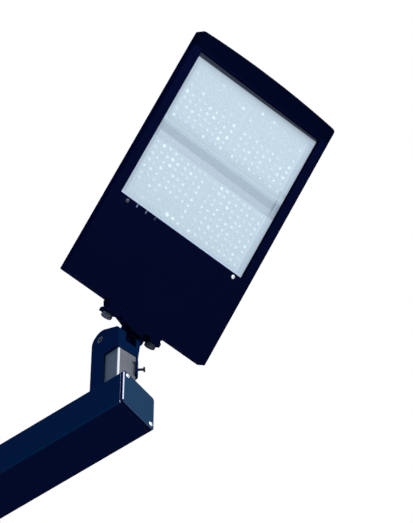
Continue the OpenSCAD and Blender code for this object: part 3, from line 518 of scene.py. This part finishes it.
def makeLensMaterial():
    # milky, faintly blue glass; painted light: it glows with its own tint, which evens out its shading, and
    # bands paint the trough's shade and lighten the seams between the boards, while others tint its borders;
    # its far rim is darker as painted shade from the far wall, and its seal is darker
    s = lens
    material, t, principled, surface = newMaterial("lensGlass", mouldGroup, s["surface"], s["shine"])
    at = placeOn(t, "head")
    tint = surface["Color"]
    # painted shade and light: bands darken the trough and lighten the seams between the boards; the others
    # tint the borders
    for label, bands in (("Across", s["across"]), ("Along", s["along"])):
        for low, high, color in bands:
            tint = t.mix(band(t, at[label], low, high, s["bandSoft"]), tint, color)
    # painted shade: the far rim darker, as the far wall shades it
    rim = t.stretch(at["Along"], s["rimFrom"] - s["rimSoft"], s["rimFrom"] + s["rimSoft"])
    tint = t.mix(rim, tint, s["rim"])
    slant = t.math("SUBTRACT", at["Along"], t.math("MULTIPLY", at["Across"], s["sealSlant"]))
    seal = t.stretch(slant, s["sealFrom"] - s["sealSoft"], s["sealFrom"] + s["sealSoft"])
    tint = t.mix(seal, tint, s["seal"])
    # painted light: the lens glows with its tint, which evens out its shading
    t.feed(principled.inputs["Emission Color"], tint)
    t.feed(principled.inputs["Base Color"], t.mix(s["base"], (0, 0, 0, 1), tint))
    t.feed(principled.inputs["Alpha"], t.stretch(rim, 0, 1, s["alpha"], 1.0))
    return material


# light points: painted highlights, glowing to stand in for glints on the optics
pointLook = {
    "surface": {"Color": rgb(200, 218, 232), "Mottle": 0.0, "Grain Scale": 900.0, "Roughness": 0.2},
    "glow": {"Emission Strength": 1.36}, "low": rgb(96, 104, 112), "high": rgb(240, 248, 253),
    "least": 0.25, "power": 2.0, "largeAlong": (226.0, 240.0), "largeAcross": (-57.0, -26.0),
}


def makePointMaterial():
    # painted highlights: each point glows with its own brightness, standing in for glints on the optics; the
    # two large ones shine
    s = pointLook
    material, t, principled, surface = newMaterial("lightPoint", mouldGroup, s["surface"], s["glow"])
    chance = t.add("ShaderNodeNewGeometry").outputs["Random Per Island"]
    at = placeOn(t, "head")
    large = t.math("MULTIPLY", band(t, at["Along"], *s["largeAlong"]),
                   band(t, at["Across"], *s["largeAcross"]))
    level = t.stretch(t.math("POWER", chance, s["power"]), 0, 1, s["least"], 1.0)
    # painted highlights: the glow of each point
    t.feed(principled.inputs["Emission Color"], t.mix(t.math("MAXIMUM", large, level), s["low"], s["high"]))
    return material


paints["bareAluminium"] = makeTenonMaterial()
paints["barCoat"] = makeBarMaterial()
paints["armCoat"] = makeArmMaterial()
paints["capCoat"] = makeCapMaterial()
paints["sealant"] = makeSealantMaterial()
paints["housingCast"] = makeCastMaterial()
paints["lensGlass"] = makeLensMaterial()
paints["lightPoint"] = makePointMaterial()
print("materials made:", len(paints))

finish = {
    "arm_paint": "armPaint", "cap_paint": "capCoat", "fitter_paint": "fitterPaint",
    "housing_paint": "housingPaint", "bare_aluminium": "bareAluminium", "zinc": "zinc",
    "bolt_steel": "boltSteel", "dark_steel": "darkSteel", "brass_screw": "brassScrew",
    "driver_case": "driverCase", "board": "board", "optic": "optic", "lens_glass": "lensGlass",
    "pale_seal": "paleSeal", "seal_rubber": "blackSeal", "dark_plastic": "blackPlastic",
    "pale_plastic": "palePlastic",
}
slotOf = {s["node"]: s["material_slot"] for s in frame["record"]["subparts"]}
ownFinish = {
    "housing": "housingCast", "lens_clamp_bar": "barCoat", "arm_tube": "armCoat", "turntable": "turnedDisc",
}
for name, piece in nodes.items():
    material = paints[ownFinish.get(name, finish[slotOf[name]])]
    piece.data.materials.clear()
    piece.data.materials.append(material)
print("finishes given to the solids")

# pieces


def newPiece(name, mesh, material, body, smooth=0, standsFor=None):
    data = bpy.data.meshes.new(name)
    bmesh.ops.recalc_face_normals(mesh, faces=mesh.faces)
    mesh.to_mesh(data)
    mesh.free()
    data.materials.append(paints[material])
    piece = bpy.data.objects.new(name, data)
    bpy.context.collection.objects.link(piece)
    data.shade_smooth()
    if smooth:
        data.set_sharp_from_angle(angle=math.radians(smooth))
    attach(piece, body)
    if standsFor:
        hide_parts(standsFor)
    return piece


def lathe(mesh, spot, rings, segments=48):
    # a closed solid from rings in their order; a radius or a height may be a function of the angle
    loops = []
    for radius, height in rings:
        loop = []
        for k in range(segments):
            a = 2 * math.pi * k / segments
            r = radius(a) if callable(radius) else radius
            z = height(a) if callable(height) else height
            loop.append(mesh.verts.new(spot @ Vector((r * mm * math.cos(a), r * mm * math.sin(a), z * mm))))
        loops.append(loop)
    for lower, upper in zip(loops, loops[1:]):
        for k in range(segments):
            n = (k + 1) % segments
            mesh.faces.new((lower[k], lower[n], upper[n], upper[k]))
    mesh.faces.new(loops[-1])
    mesh.faces.new(loops[0][::-1])


def hexRadius(flats):
    # how far a hexagon reaches at an angle, from its width across flats
    return lambda a: flats / 2 / math.cos(a % (math.pi / 3) - math.pi / 6)


shank = {"tip": 0.4, "tipMost": 0.3, "overlap": 0.05, "segments": 24}


def addShank(mesh, spot, radius, length):
    s = shank
    tip = min(radius * s["tip"], length * s["tipMost"])
    rings = [(radius - tip, -length), (radius, tip - length), (radius, s["overlap"])]
    lathe(mesh, spot, rings, s["segments"])


thread = {"pitch": 1.0, "depth": 0.45, "steps": 8}


def addThread(mesh, spot, radius, length):
    # one helical ridge down the shank
    pitch, depth = thread["pitch"], thread["depth"]

    def ridge(z):
        return lambda a: radius - depth * abs(2 * ((z / pitch - a / (2 * math.pi)) % 1) - 1)
    steps = int(length / pitch * thread["steps"])
    heights = [-length + length * i / steps for i in range(steps + 1)]
    lathe(mesh, spot, [(ridge(z), z) for z in heights], shank["segments"])


hexHead = {
    "face": 0.47, "faceHeight": 0.5, "top": 0.465, "bevel": 30, "rim": 0.82, "dish": 0.78, "dishDepth": 0.2,
}


def addHexHead(mesh, spot, flats, height):
    # washer face below, corners turned down above, a shallow dish on top
    h = hexHead
    side = hexRadius(flats)
    face, top = flats * h["face"], flats * h["top"]

    def corner(a):
        return height - (side(a) - top) * math.tan(math.radians(h["bevel"]))
    lathe(mesh, spot, [(face, 0), (face, h["faceHeight"]), (side, h["faceHeight"]), (side, corner),
                       (top, height), (top * h["rim"], height), (top * h["dish"], height - h["dishDepth"])])


socketHead = {"edge": 0.8, "mouth": 0.62, "chamfer": 0.3}


def addSocketHead(mesh, spot, radius, height, socket, depth):
    s = socketHead
    side = hexRadius(socket)
    lathe(mesh, spot, [(radius, 0), (radius, height - s["edge"]), (radius - s["edge"], height),
                       (socket * s["mouth"], height), (side, height - s["chamfer"]), (side, height - depth)])


panHead = {
    "profile": ((0.97, 0), (1, 0.12), (1, 0.35), (0.93, 0.66), (0.76, 0.88), (0.45, 0.98), (0.12, 1)),
    "cutWidth": 0.28, "slotReach": 1.5, "crossReach": 0.62, "cutFrom": 0.4, "floor": 0.45,
}


def addPanHead(mesh, spot, radius, height, slots):
    # a domed head, cut across once for a slot or twice for a cross
    p = panHead
    head = bmesh.new()
    lathe(head, Matrix(), [(radius * out, height * rise) for out, rise in p["profile"]])
    half = radius * p["cutWidth"] * mm / 2
    reach = radius * p["slotReach" if slots == 1 else "crossReach"] * mm
    cuts = [((1, 0, 0), reach, (0, 1, 0), half), ((0, 1, 0), reach, (1, 0, 0), half)][:slots]
    for along, far, across, near in cuts:
        for normal, distance in ((along, far), (across, near)):
            for sign in (-1, 1):
                bmesh.ops.bisect_plane(head, geom=head.verts[:] + head.edges[:] + head.faces[:],
                                       plane_co=Vector(normal) * distance * sign, plane_no=normal)
    cut = []
    for face in head.faces:
        c = face.calc_center_median()
        spans = [(abs(c.x), abs(c.y)), (abs(c.y), abs(c.x))][:slots]
        if c.z > height * p["cutFrom"] * mm and any(a < reach and b < half for a, b in spans):
            cut.append(face)
    moved = bmesh.ops.extrude_face_region(head, geom=cut)["geom"]
    for vert in moved:
        if isinstance(vert, bmesh.types.BMVert):
            vert.co.z = height * p["floor"] * mm
    stale = [face for face in cut if face.is_valid]
    if stale:
        bmesh.ops.delete(head, geom=stale, context="FACES")
    head.transform(spot)
    data = bpy.data.meshes.new("head")
    head.to_mesh(data)
    head.free()
    mesh.from_mesh(data)
    bpy.data.meshes.remove(data)


fasteners = {
    "flangeBolt": {
        "left": -59, "right": 64, "z": 7.5, "seat": -28, "flats": 22, "head": 7.5, "shank": 6, "length": 45},
    "pivotBolt": {"seat": 45.5, "flats": 19, "head": 7.5, "shank": 6, "length": 72},
    "stopBolt": {
        "at": (-33.8, -23.7, 195.3), "radius": 9, "head": 6.2, "socket": 10, "depth": 4,
        "shank": 5, "length": 50},
    "capScrew": {"corner": 39.8, "turns": (20, 75), "radius": 5.6, "head": 3.2, "shank": 2.5, "length": 14},
    "clampScrew": {"z": 86, "seat": 50.25, "turn": 45, "flats": 10, "head": 4, "shank": 3, "length": 14.5},
    "coverScrew": {
        "xs": (18, 94, 170), "y": 185.5, "seat": 40, "turn": 30, "spin": 1.7,
        "radius": 4.6, "head": 2.4, "shank": 2, "length": 9},
    "barScrew": {
        "x": 200.5, "y": 153, "seat": 0.4, "turn": 30, "radius": 4.6, "head": 2.4, "shank": 2, "length": 18},
    "earthScrew": {"at": (30, 40, 13), "radius": 4, "head": 2.4, "shank": 2, "length": 6},
}
headSmooth = 30  # degrees: sharper edges on the heads stay crisp


def newHead(name, mesh, material, body, node):
    newPiece(name, mesh, material, body, headSmooth, node)


def addHexBolt(mesh, spot, f):
    addHexHead(mesh, spot, f["flats"], f["head"])
    addShank(mesh, spot, f["shank"], f["length"])


def addPanScrew(mesh, spot, f, slots=2):
    addPanHead(mesh, spot, f["radius"], f["head"], slots)
    addShank(mesh, spot, f["shank"], f["length"])


def makeFasteners():
    f = fasteners["flangeBolt"]
    # the right flange bolt gets painted shade
    for side, material in (("left", "boltSteel"), ("right", "grimySteel")):
        mesh = bmesh.new()
        addHexBolt(mesh, headFrame @ shift(f["seat"], f[side], f["z"]) @ turn(-90, "Y"), f)
        newHead("flange_bolt_" + side, mesh, material, "head", "flange_bolts")

    f = fasteners["pivotBolt"]
    mesh = bmesh.new()
    addHexBolt(mesh, tenonFrame @ shift(place["pivotX"], f["seat"], place["pivotZ"]) @ turn(-90, "X"), f)
    newHead("pivot_bolt_head", mesh, "darkSteel", "turret", "pivot_bolt")

    f = fasteners["stopBolt"]
    mesh = bmesh.new()
    spot = tenonFrame @ shift(*f["at"]) @ turn(90, "X")
    addSocketHead(mesh, spot, f["radius"], f["head"], f["socket"], f["depth"])
    addShank(mesh, spot, f["shank"], f["length"])
    newHead("stop_bolt_head", mesh, "boltSteel", "turret", "stop_bolt")

    f = fasteners["capScrew"]
    mesh = bmesh.new()
    for sign, angle in zip((-1, 1), f["turns"]):
        corner = shift(place["armEnd"], sign * f["corner"], -sign * f["corner"])
        addPanScrew(mesh, corner @ turn(90, "Y") @ turn(angle, "Z"), f, 1)
    newHead("cap_screw_heads", mesh, "zinc", "arm", "cap_screws")

    f = fasteners["clampScrew"]
    mesh = bmesh.new()
    spot = tenonFrame @ shift(0, 0, f["z"]) @ turn(f["turn"], "Z") @ turn(90, "Y") @ shift(0, 0, f["seat"])
    addHexHead(mesh, spot, f["flats"], f["head"])
    addThread(mesh, spot, f["shank"], f["length"])
    newHead("clamp_screw_thread", mesh, "darkSteel", "turret", "clamp_screw")

    f = fasteners["coverScrew"]
    mesh = bmesh.new()
    for x in f["xs"]:
        for sign in (-1, 1):
            angle = x * f["spin"] + f["turn"] * sign
            addPanScrew(mesh, headFrame @ shift(x, sign * f["y"], f["seat"]) @ turn(angle, "Z"), f)
    newHead("cover_screw_heads", mesh, "zinc", "head", "cover_screws")

    f = fasteners["barScrew"]
    for sign, side, material in ((-1, "left", "boltSteel"), (1, "right", "zinc")):
        mesh = bmesh.new()
        spot = headFrame @ shift(f["x"], sign * f["y"], f["seat"]) @ turn(180, "X")
        addPanScrew(mesh, spot @ turn(f["turn"] * sign, "Z"), f)
        newHead("bar_screw_" + side, mesh, material, "head", "clamp_bar_screws")

    f = fasteners["earthScrew"]
    mesh = bmesh.new()
    addPanScrew(mesh, headFrame @ shift(*f["at"]), f)
    newHead("earth_screw_head", mesh, "brassScrew", "head", "earth_screw")


def squarePath(half, corner, count):
    # distances, points and outward directions around a rounded square across the arm
    flat = half - corner
    side, quarter = 2 * flat, corner * math.pi / 2
    total = 4 * (side + quarter)
    for k in range(count):
        d = total * k / count
        turns, d = int(d // (side + quarter)), d % (side + quarter)
        if d < side:
            point, out = Vector((0, half, -flat + d)), Vector((0, 1, 0))
        else:
            a = (d - side) / corner
            out = Vector((0, math.cos(a), math.sin(a)))
            point = Vector((0, flat, flat)) + out * corner
        spin = Matrix.Rotation(turns * math.pi / 2, 3, "X")
        yield total * k / count, spin @ point, spin @ out


def addBead(mesh, bead, wander):
    # a round bead laid around the arm; wander gives its shift along and out and its swell at each distance
    rings = []
    for distance, point, out in squarePath(place["armHalf"], place["armCorner"], bead["count"]):
        along, rise, swell = wander(distance)
        middle = point + out * rise
        ring = []
        for k in range(bead["sides"]):
            a = 2 * math.pi * k / bead["sides"]
            spot = middle + out * bead["radius"] * swell * math.sin(a)
            spot.x = bead["x"] + along + bead["radius"] * swell * math.cos(a)
            ring.append(mesh.verts.new(spot * mm))
        rings.append(ring)
    for ring, after in zip(rings, rings[1:] + rings[:1]):
        for k in range(bead["sides"]):
            n = (k + 1) % bead["sides"]
            mesh.faces.new((ring[k], ring[n], after[n], after[k]))


weld = {
    "x": 11.2, "radius": 3.2, "count": 1200, "sides": 10, "ripple": 2.6, "body": 0.88, "crest": 0.16,
    "sway": 0.25, "swayRate": 0.21, "rise": 0.4, "bulge": 0.2, "bulgeRate": 0.13,
}


def makeWeld():
    # weld bead where the tube meets the pole plate
    w = weld

    def wander(distance):
        along = w["sway"] * math.sin(distance * w["swayRate"])
        rise = w["rise"] + w["bulge"] * math.sin(distance * w["bulgeRate"])
        return along, rise, w["body"] + w["crest"] * math.sqrt((distance / w["ripple"]) % 1)
    mesh = bmesh.new()
    addBead(mesh, w, wander)
    newPiece("plate_weld", mesh, "armPaint", "arm")


capSeam = {
    "x": 493, "radius": 0.42, "count": 480, "sides": 8, "rise": 0.05, "body": 0.85, "swell": 0.2,
    "swellRate": 0.53, "sway": 0.35, "swayRate": 0.11, "twitch": 0.2, "twitchRate": 0.37,
}


def makeCapSeam():
    # thin uneven line of sealant where the cap meets the tube
    c = capSeam

    def wander(distance):
        along = c["sway"] * math.sin(distance * c["swayRate"])
        along += c["twitch"] * math.sin(distance * c["twitchRate"])
        return along, c["rise"], c["body"] + c["swell"] * math.sin(distance * c["swellRate"])
    mesh = bmesh.new()
    addBead(mesh, c, wander)
    newPiece("cap_sealant", mesh, "sealant", "arm")


gusset = {"from": -43, "slope": 3, "to": -28.8, "under": 3.7, "down": -0.2, "left": 9, "right": 19.1}


def makeGusset():
    # the casting's small rib under the knuckle's tongue, where it meets the flange
    g = gusset
    mesh = bmesh.new()
    sides = []
    for y in (g["left"], g["right"]):
        corners = [(g["from"], g["under"]), (g["from"] + g["slope"], g["down"]), (g["to"], g["down"]),
                   (g["to"], g["under"])]
        sides.append([mesh.verts.new(headFrame @ Vector((x * mm, y * mm, n * mm))) for x, n in corners])
    mesh.faces.new(sides[0])
    mesh.faces.new(sides[1][::-1])
    for k in range(4):
        n = (k + 1) % 4
        mesh.faces.new((sides[0][k], sides[1][k], sides[1][n], sides[0][n]))
    newPiece("tongue_rib", mesh, "housingPaint", "head")


makeFasteners()
makeWeld()
makeCapSeam()
makeGusset()
print("fasteners, weld, seam and rib made")

# glowing domes that paint glints on the optics
lightPoints = {
    "seed": 7, "rows": 9, "columns": 9, "pitchX": 15.3, "pitchY": 17.0, "moduleX": 96.0, "moduleY": 83.4,
    "middle": 389.0, "height": 16.2, "lift": 1.2, "radius": (2.4, 3.8), "faint": (0.8, 1.4), "longer": 1.1,
    "dome": 1.4, "wander": 3.6, "sparse": 0.2, "sparseFrom": 492, "cornerAlong": 270, "cornerAcross": -22,
    "large": {("near", "left"): ((232.4, -49.3, 4.4), (233.0, -32.3, 3.0))}, "largeDome": 1.6,
}


def addDome(mesh, x, y, along, across, rise):
    spot = headFrame @ shift(x, y, lightPoints["height"] + lightPoints["lift"])
    size = Matrix.Diagonal((along * mm, across * mm, rise * mm, 1))
    bmesh.ops.create_icosphere(mesh, subdivisions=2, radius=1, matrix=spot @ size)


def makeLightPoints():
    # small glowing domes on the optics that paint their glints, uneven in size and place; most are faint at
    # the far edge and in one corner
    s = lightPoints
    chance = random.Random(s["seed"]).random
    for nameX, signX in (("near", -1), ("far", 1)):
        for nameY, signY in (("left", -1), ("right", 1)):
            mesh = bmesh.new()
            for i in range(s["rows"]):
                for j in range(s["columns"]):
                    x = s["middle"] + signX * s["moduleX"] + (i - (s["rows"] - 1) / 2) * s["pitchX"]
                    y = signY * s["moduleY"] + (j - (s["columns"] - 1) / 2) * s["pitchY"]
                    sparse = x > s["sparseFrom"] or (x < s["cornerAlong"] and y < s["cornerAcross"])
                    low, high = s["faint"] if sparse and chance() > s["sparse"] else s["radius"]
                    radius = low + (high - low) * chance()
                    x += (chance() - 0.5) * s["wander"]
                    y += (chance() - 0.5) * s["wander"]
                    addDome(mesh, x, y, radius, radius * s["longer"], s["dome"])
            for x, y, radius in s["large"].get((nameX, nameY), ()):
                addDome(mesh, x, y, radius, radius, s["largeDome"])
            newPiece("light_points_%s_%s" % (nameX, nameY), mesh, "lightPoint", "head")


makeLightPoints()
print("light points placed")

# stage and light

stageSet = {
    "floorDepth": -7.0, "floorSize": 40.0, "floorColor": (0.9, 0.9, 0.9, 1), "floorRoughness": 0.9,
    "white": (1, 1, 1, 1), "worldLight": 0.6, "seenLight": 1.0,
}


def makeStage():
    # a pale floor, clear when seen from below
    s = stageSet
    mesh = bmesh.new()
    bmesh.ops.create_grid(mesh, x_segments=1, y_segments=1, size=s["floorSize"])
    data = bpy.data.meshes.new("floor")
    mesh.to_mesh(data)
    mesh.free()
    floor = bpy.data.objects.new("floor", data)
    floor.location = (0, 0, s["floorDepth"])
    bpy.context.collection.objects.link(floor)
    material = bpy.data.materials.new("floorPaper")
    material.use_nodes = True
    t = Tree(material.node_tree)
    principled = t.find("BSDF_PRINCIPLED")
    principled.inputs["Base Color"].default_value = s["floorColor"]
    principled.inputs["Roughness"].default_value = s["floorRoughness"]
    below = t.add("ShaderNodeNewGeometry").outputs["Backfacing"]
    clear = t.add("ShaderNodeBsdfTransparent").outputs[0]
    both = t.add("ShaderNodeMixShader", {0: below, 1: principled.outputs[0], 2: clear}).outputs[0]
    t.feed(t.find("OUTPUT_MATERIAL").inputs["Surface"], both)
    data.materials.append(material)


def makeWorld():
    # plain white where it is seen, through glass or as a shine too, and softer as a light
    s = stageSet
    world = bpy.data.worlds.new("studio")
    bpy.context.scene.world = world
    world.use_nodes = True
    t = Tree(world.node_tree)
    path = t.add("ShaderNodeLightPath").outputs
    seen = t.math("MAXIMUM", path["Is Camera Ray"], path["Is Transmission Ray"])
    seen = t.math("MAXIMUM", seen, path["Is Glossy Ray"])
    soft = t.add("ShaderNodeBackground", {"Color": s["white"], "Strength": s["worldLight"]}).outputs[0]
    white = t.add("ShaderNodeBackground", {"Color": s["white"], "Strength": s["seenLight"]}).outputs[0]
    both = t.add("ShaderNodeMixShader", {0: seen, 1: soft, 2: white}).outputs[0]
    t.feed(t.find("OUTPUT_WORLD").inputs["Surface"], both)


lampAim = (0.5, 0, 0.25)
lamps = {
    "keyLamp": {"place": (4.0, -0.5, 0.8), "size": 2.5, "watts": 150},
    "fillLamp": {"place": (-1.0, -4.0, 1.0), "size": 3.0, "watts": 60},
    "topLamp": {"place": (-1.5, 2.0, 4.5), "size": 3.5, "watts": 160},
}


def makeLamps():
    for name, s in lamps.items():
        data = bpy.data.lights.new(name, "AREA")
        data.shape = "DISK"
        data.size = s["size"]
        data.energy = s["watts"]
        lamp = bpy.data.objects.new(name, data)
        lamp.location = s["place"]
        lamp.rotation_euler = (Vector(lampAim) - lamp.location).to_track_quat("-Z", "Y").to_euler()
        lamp.visible_camera = False
        bpy.context.collection.objects.link(lamp)


makeStage()
makeWorld()
makeLamps()
print("stage and lamps set")
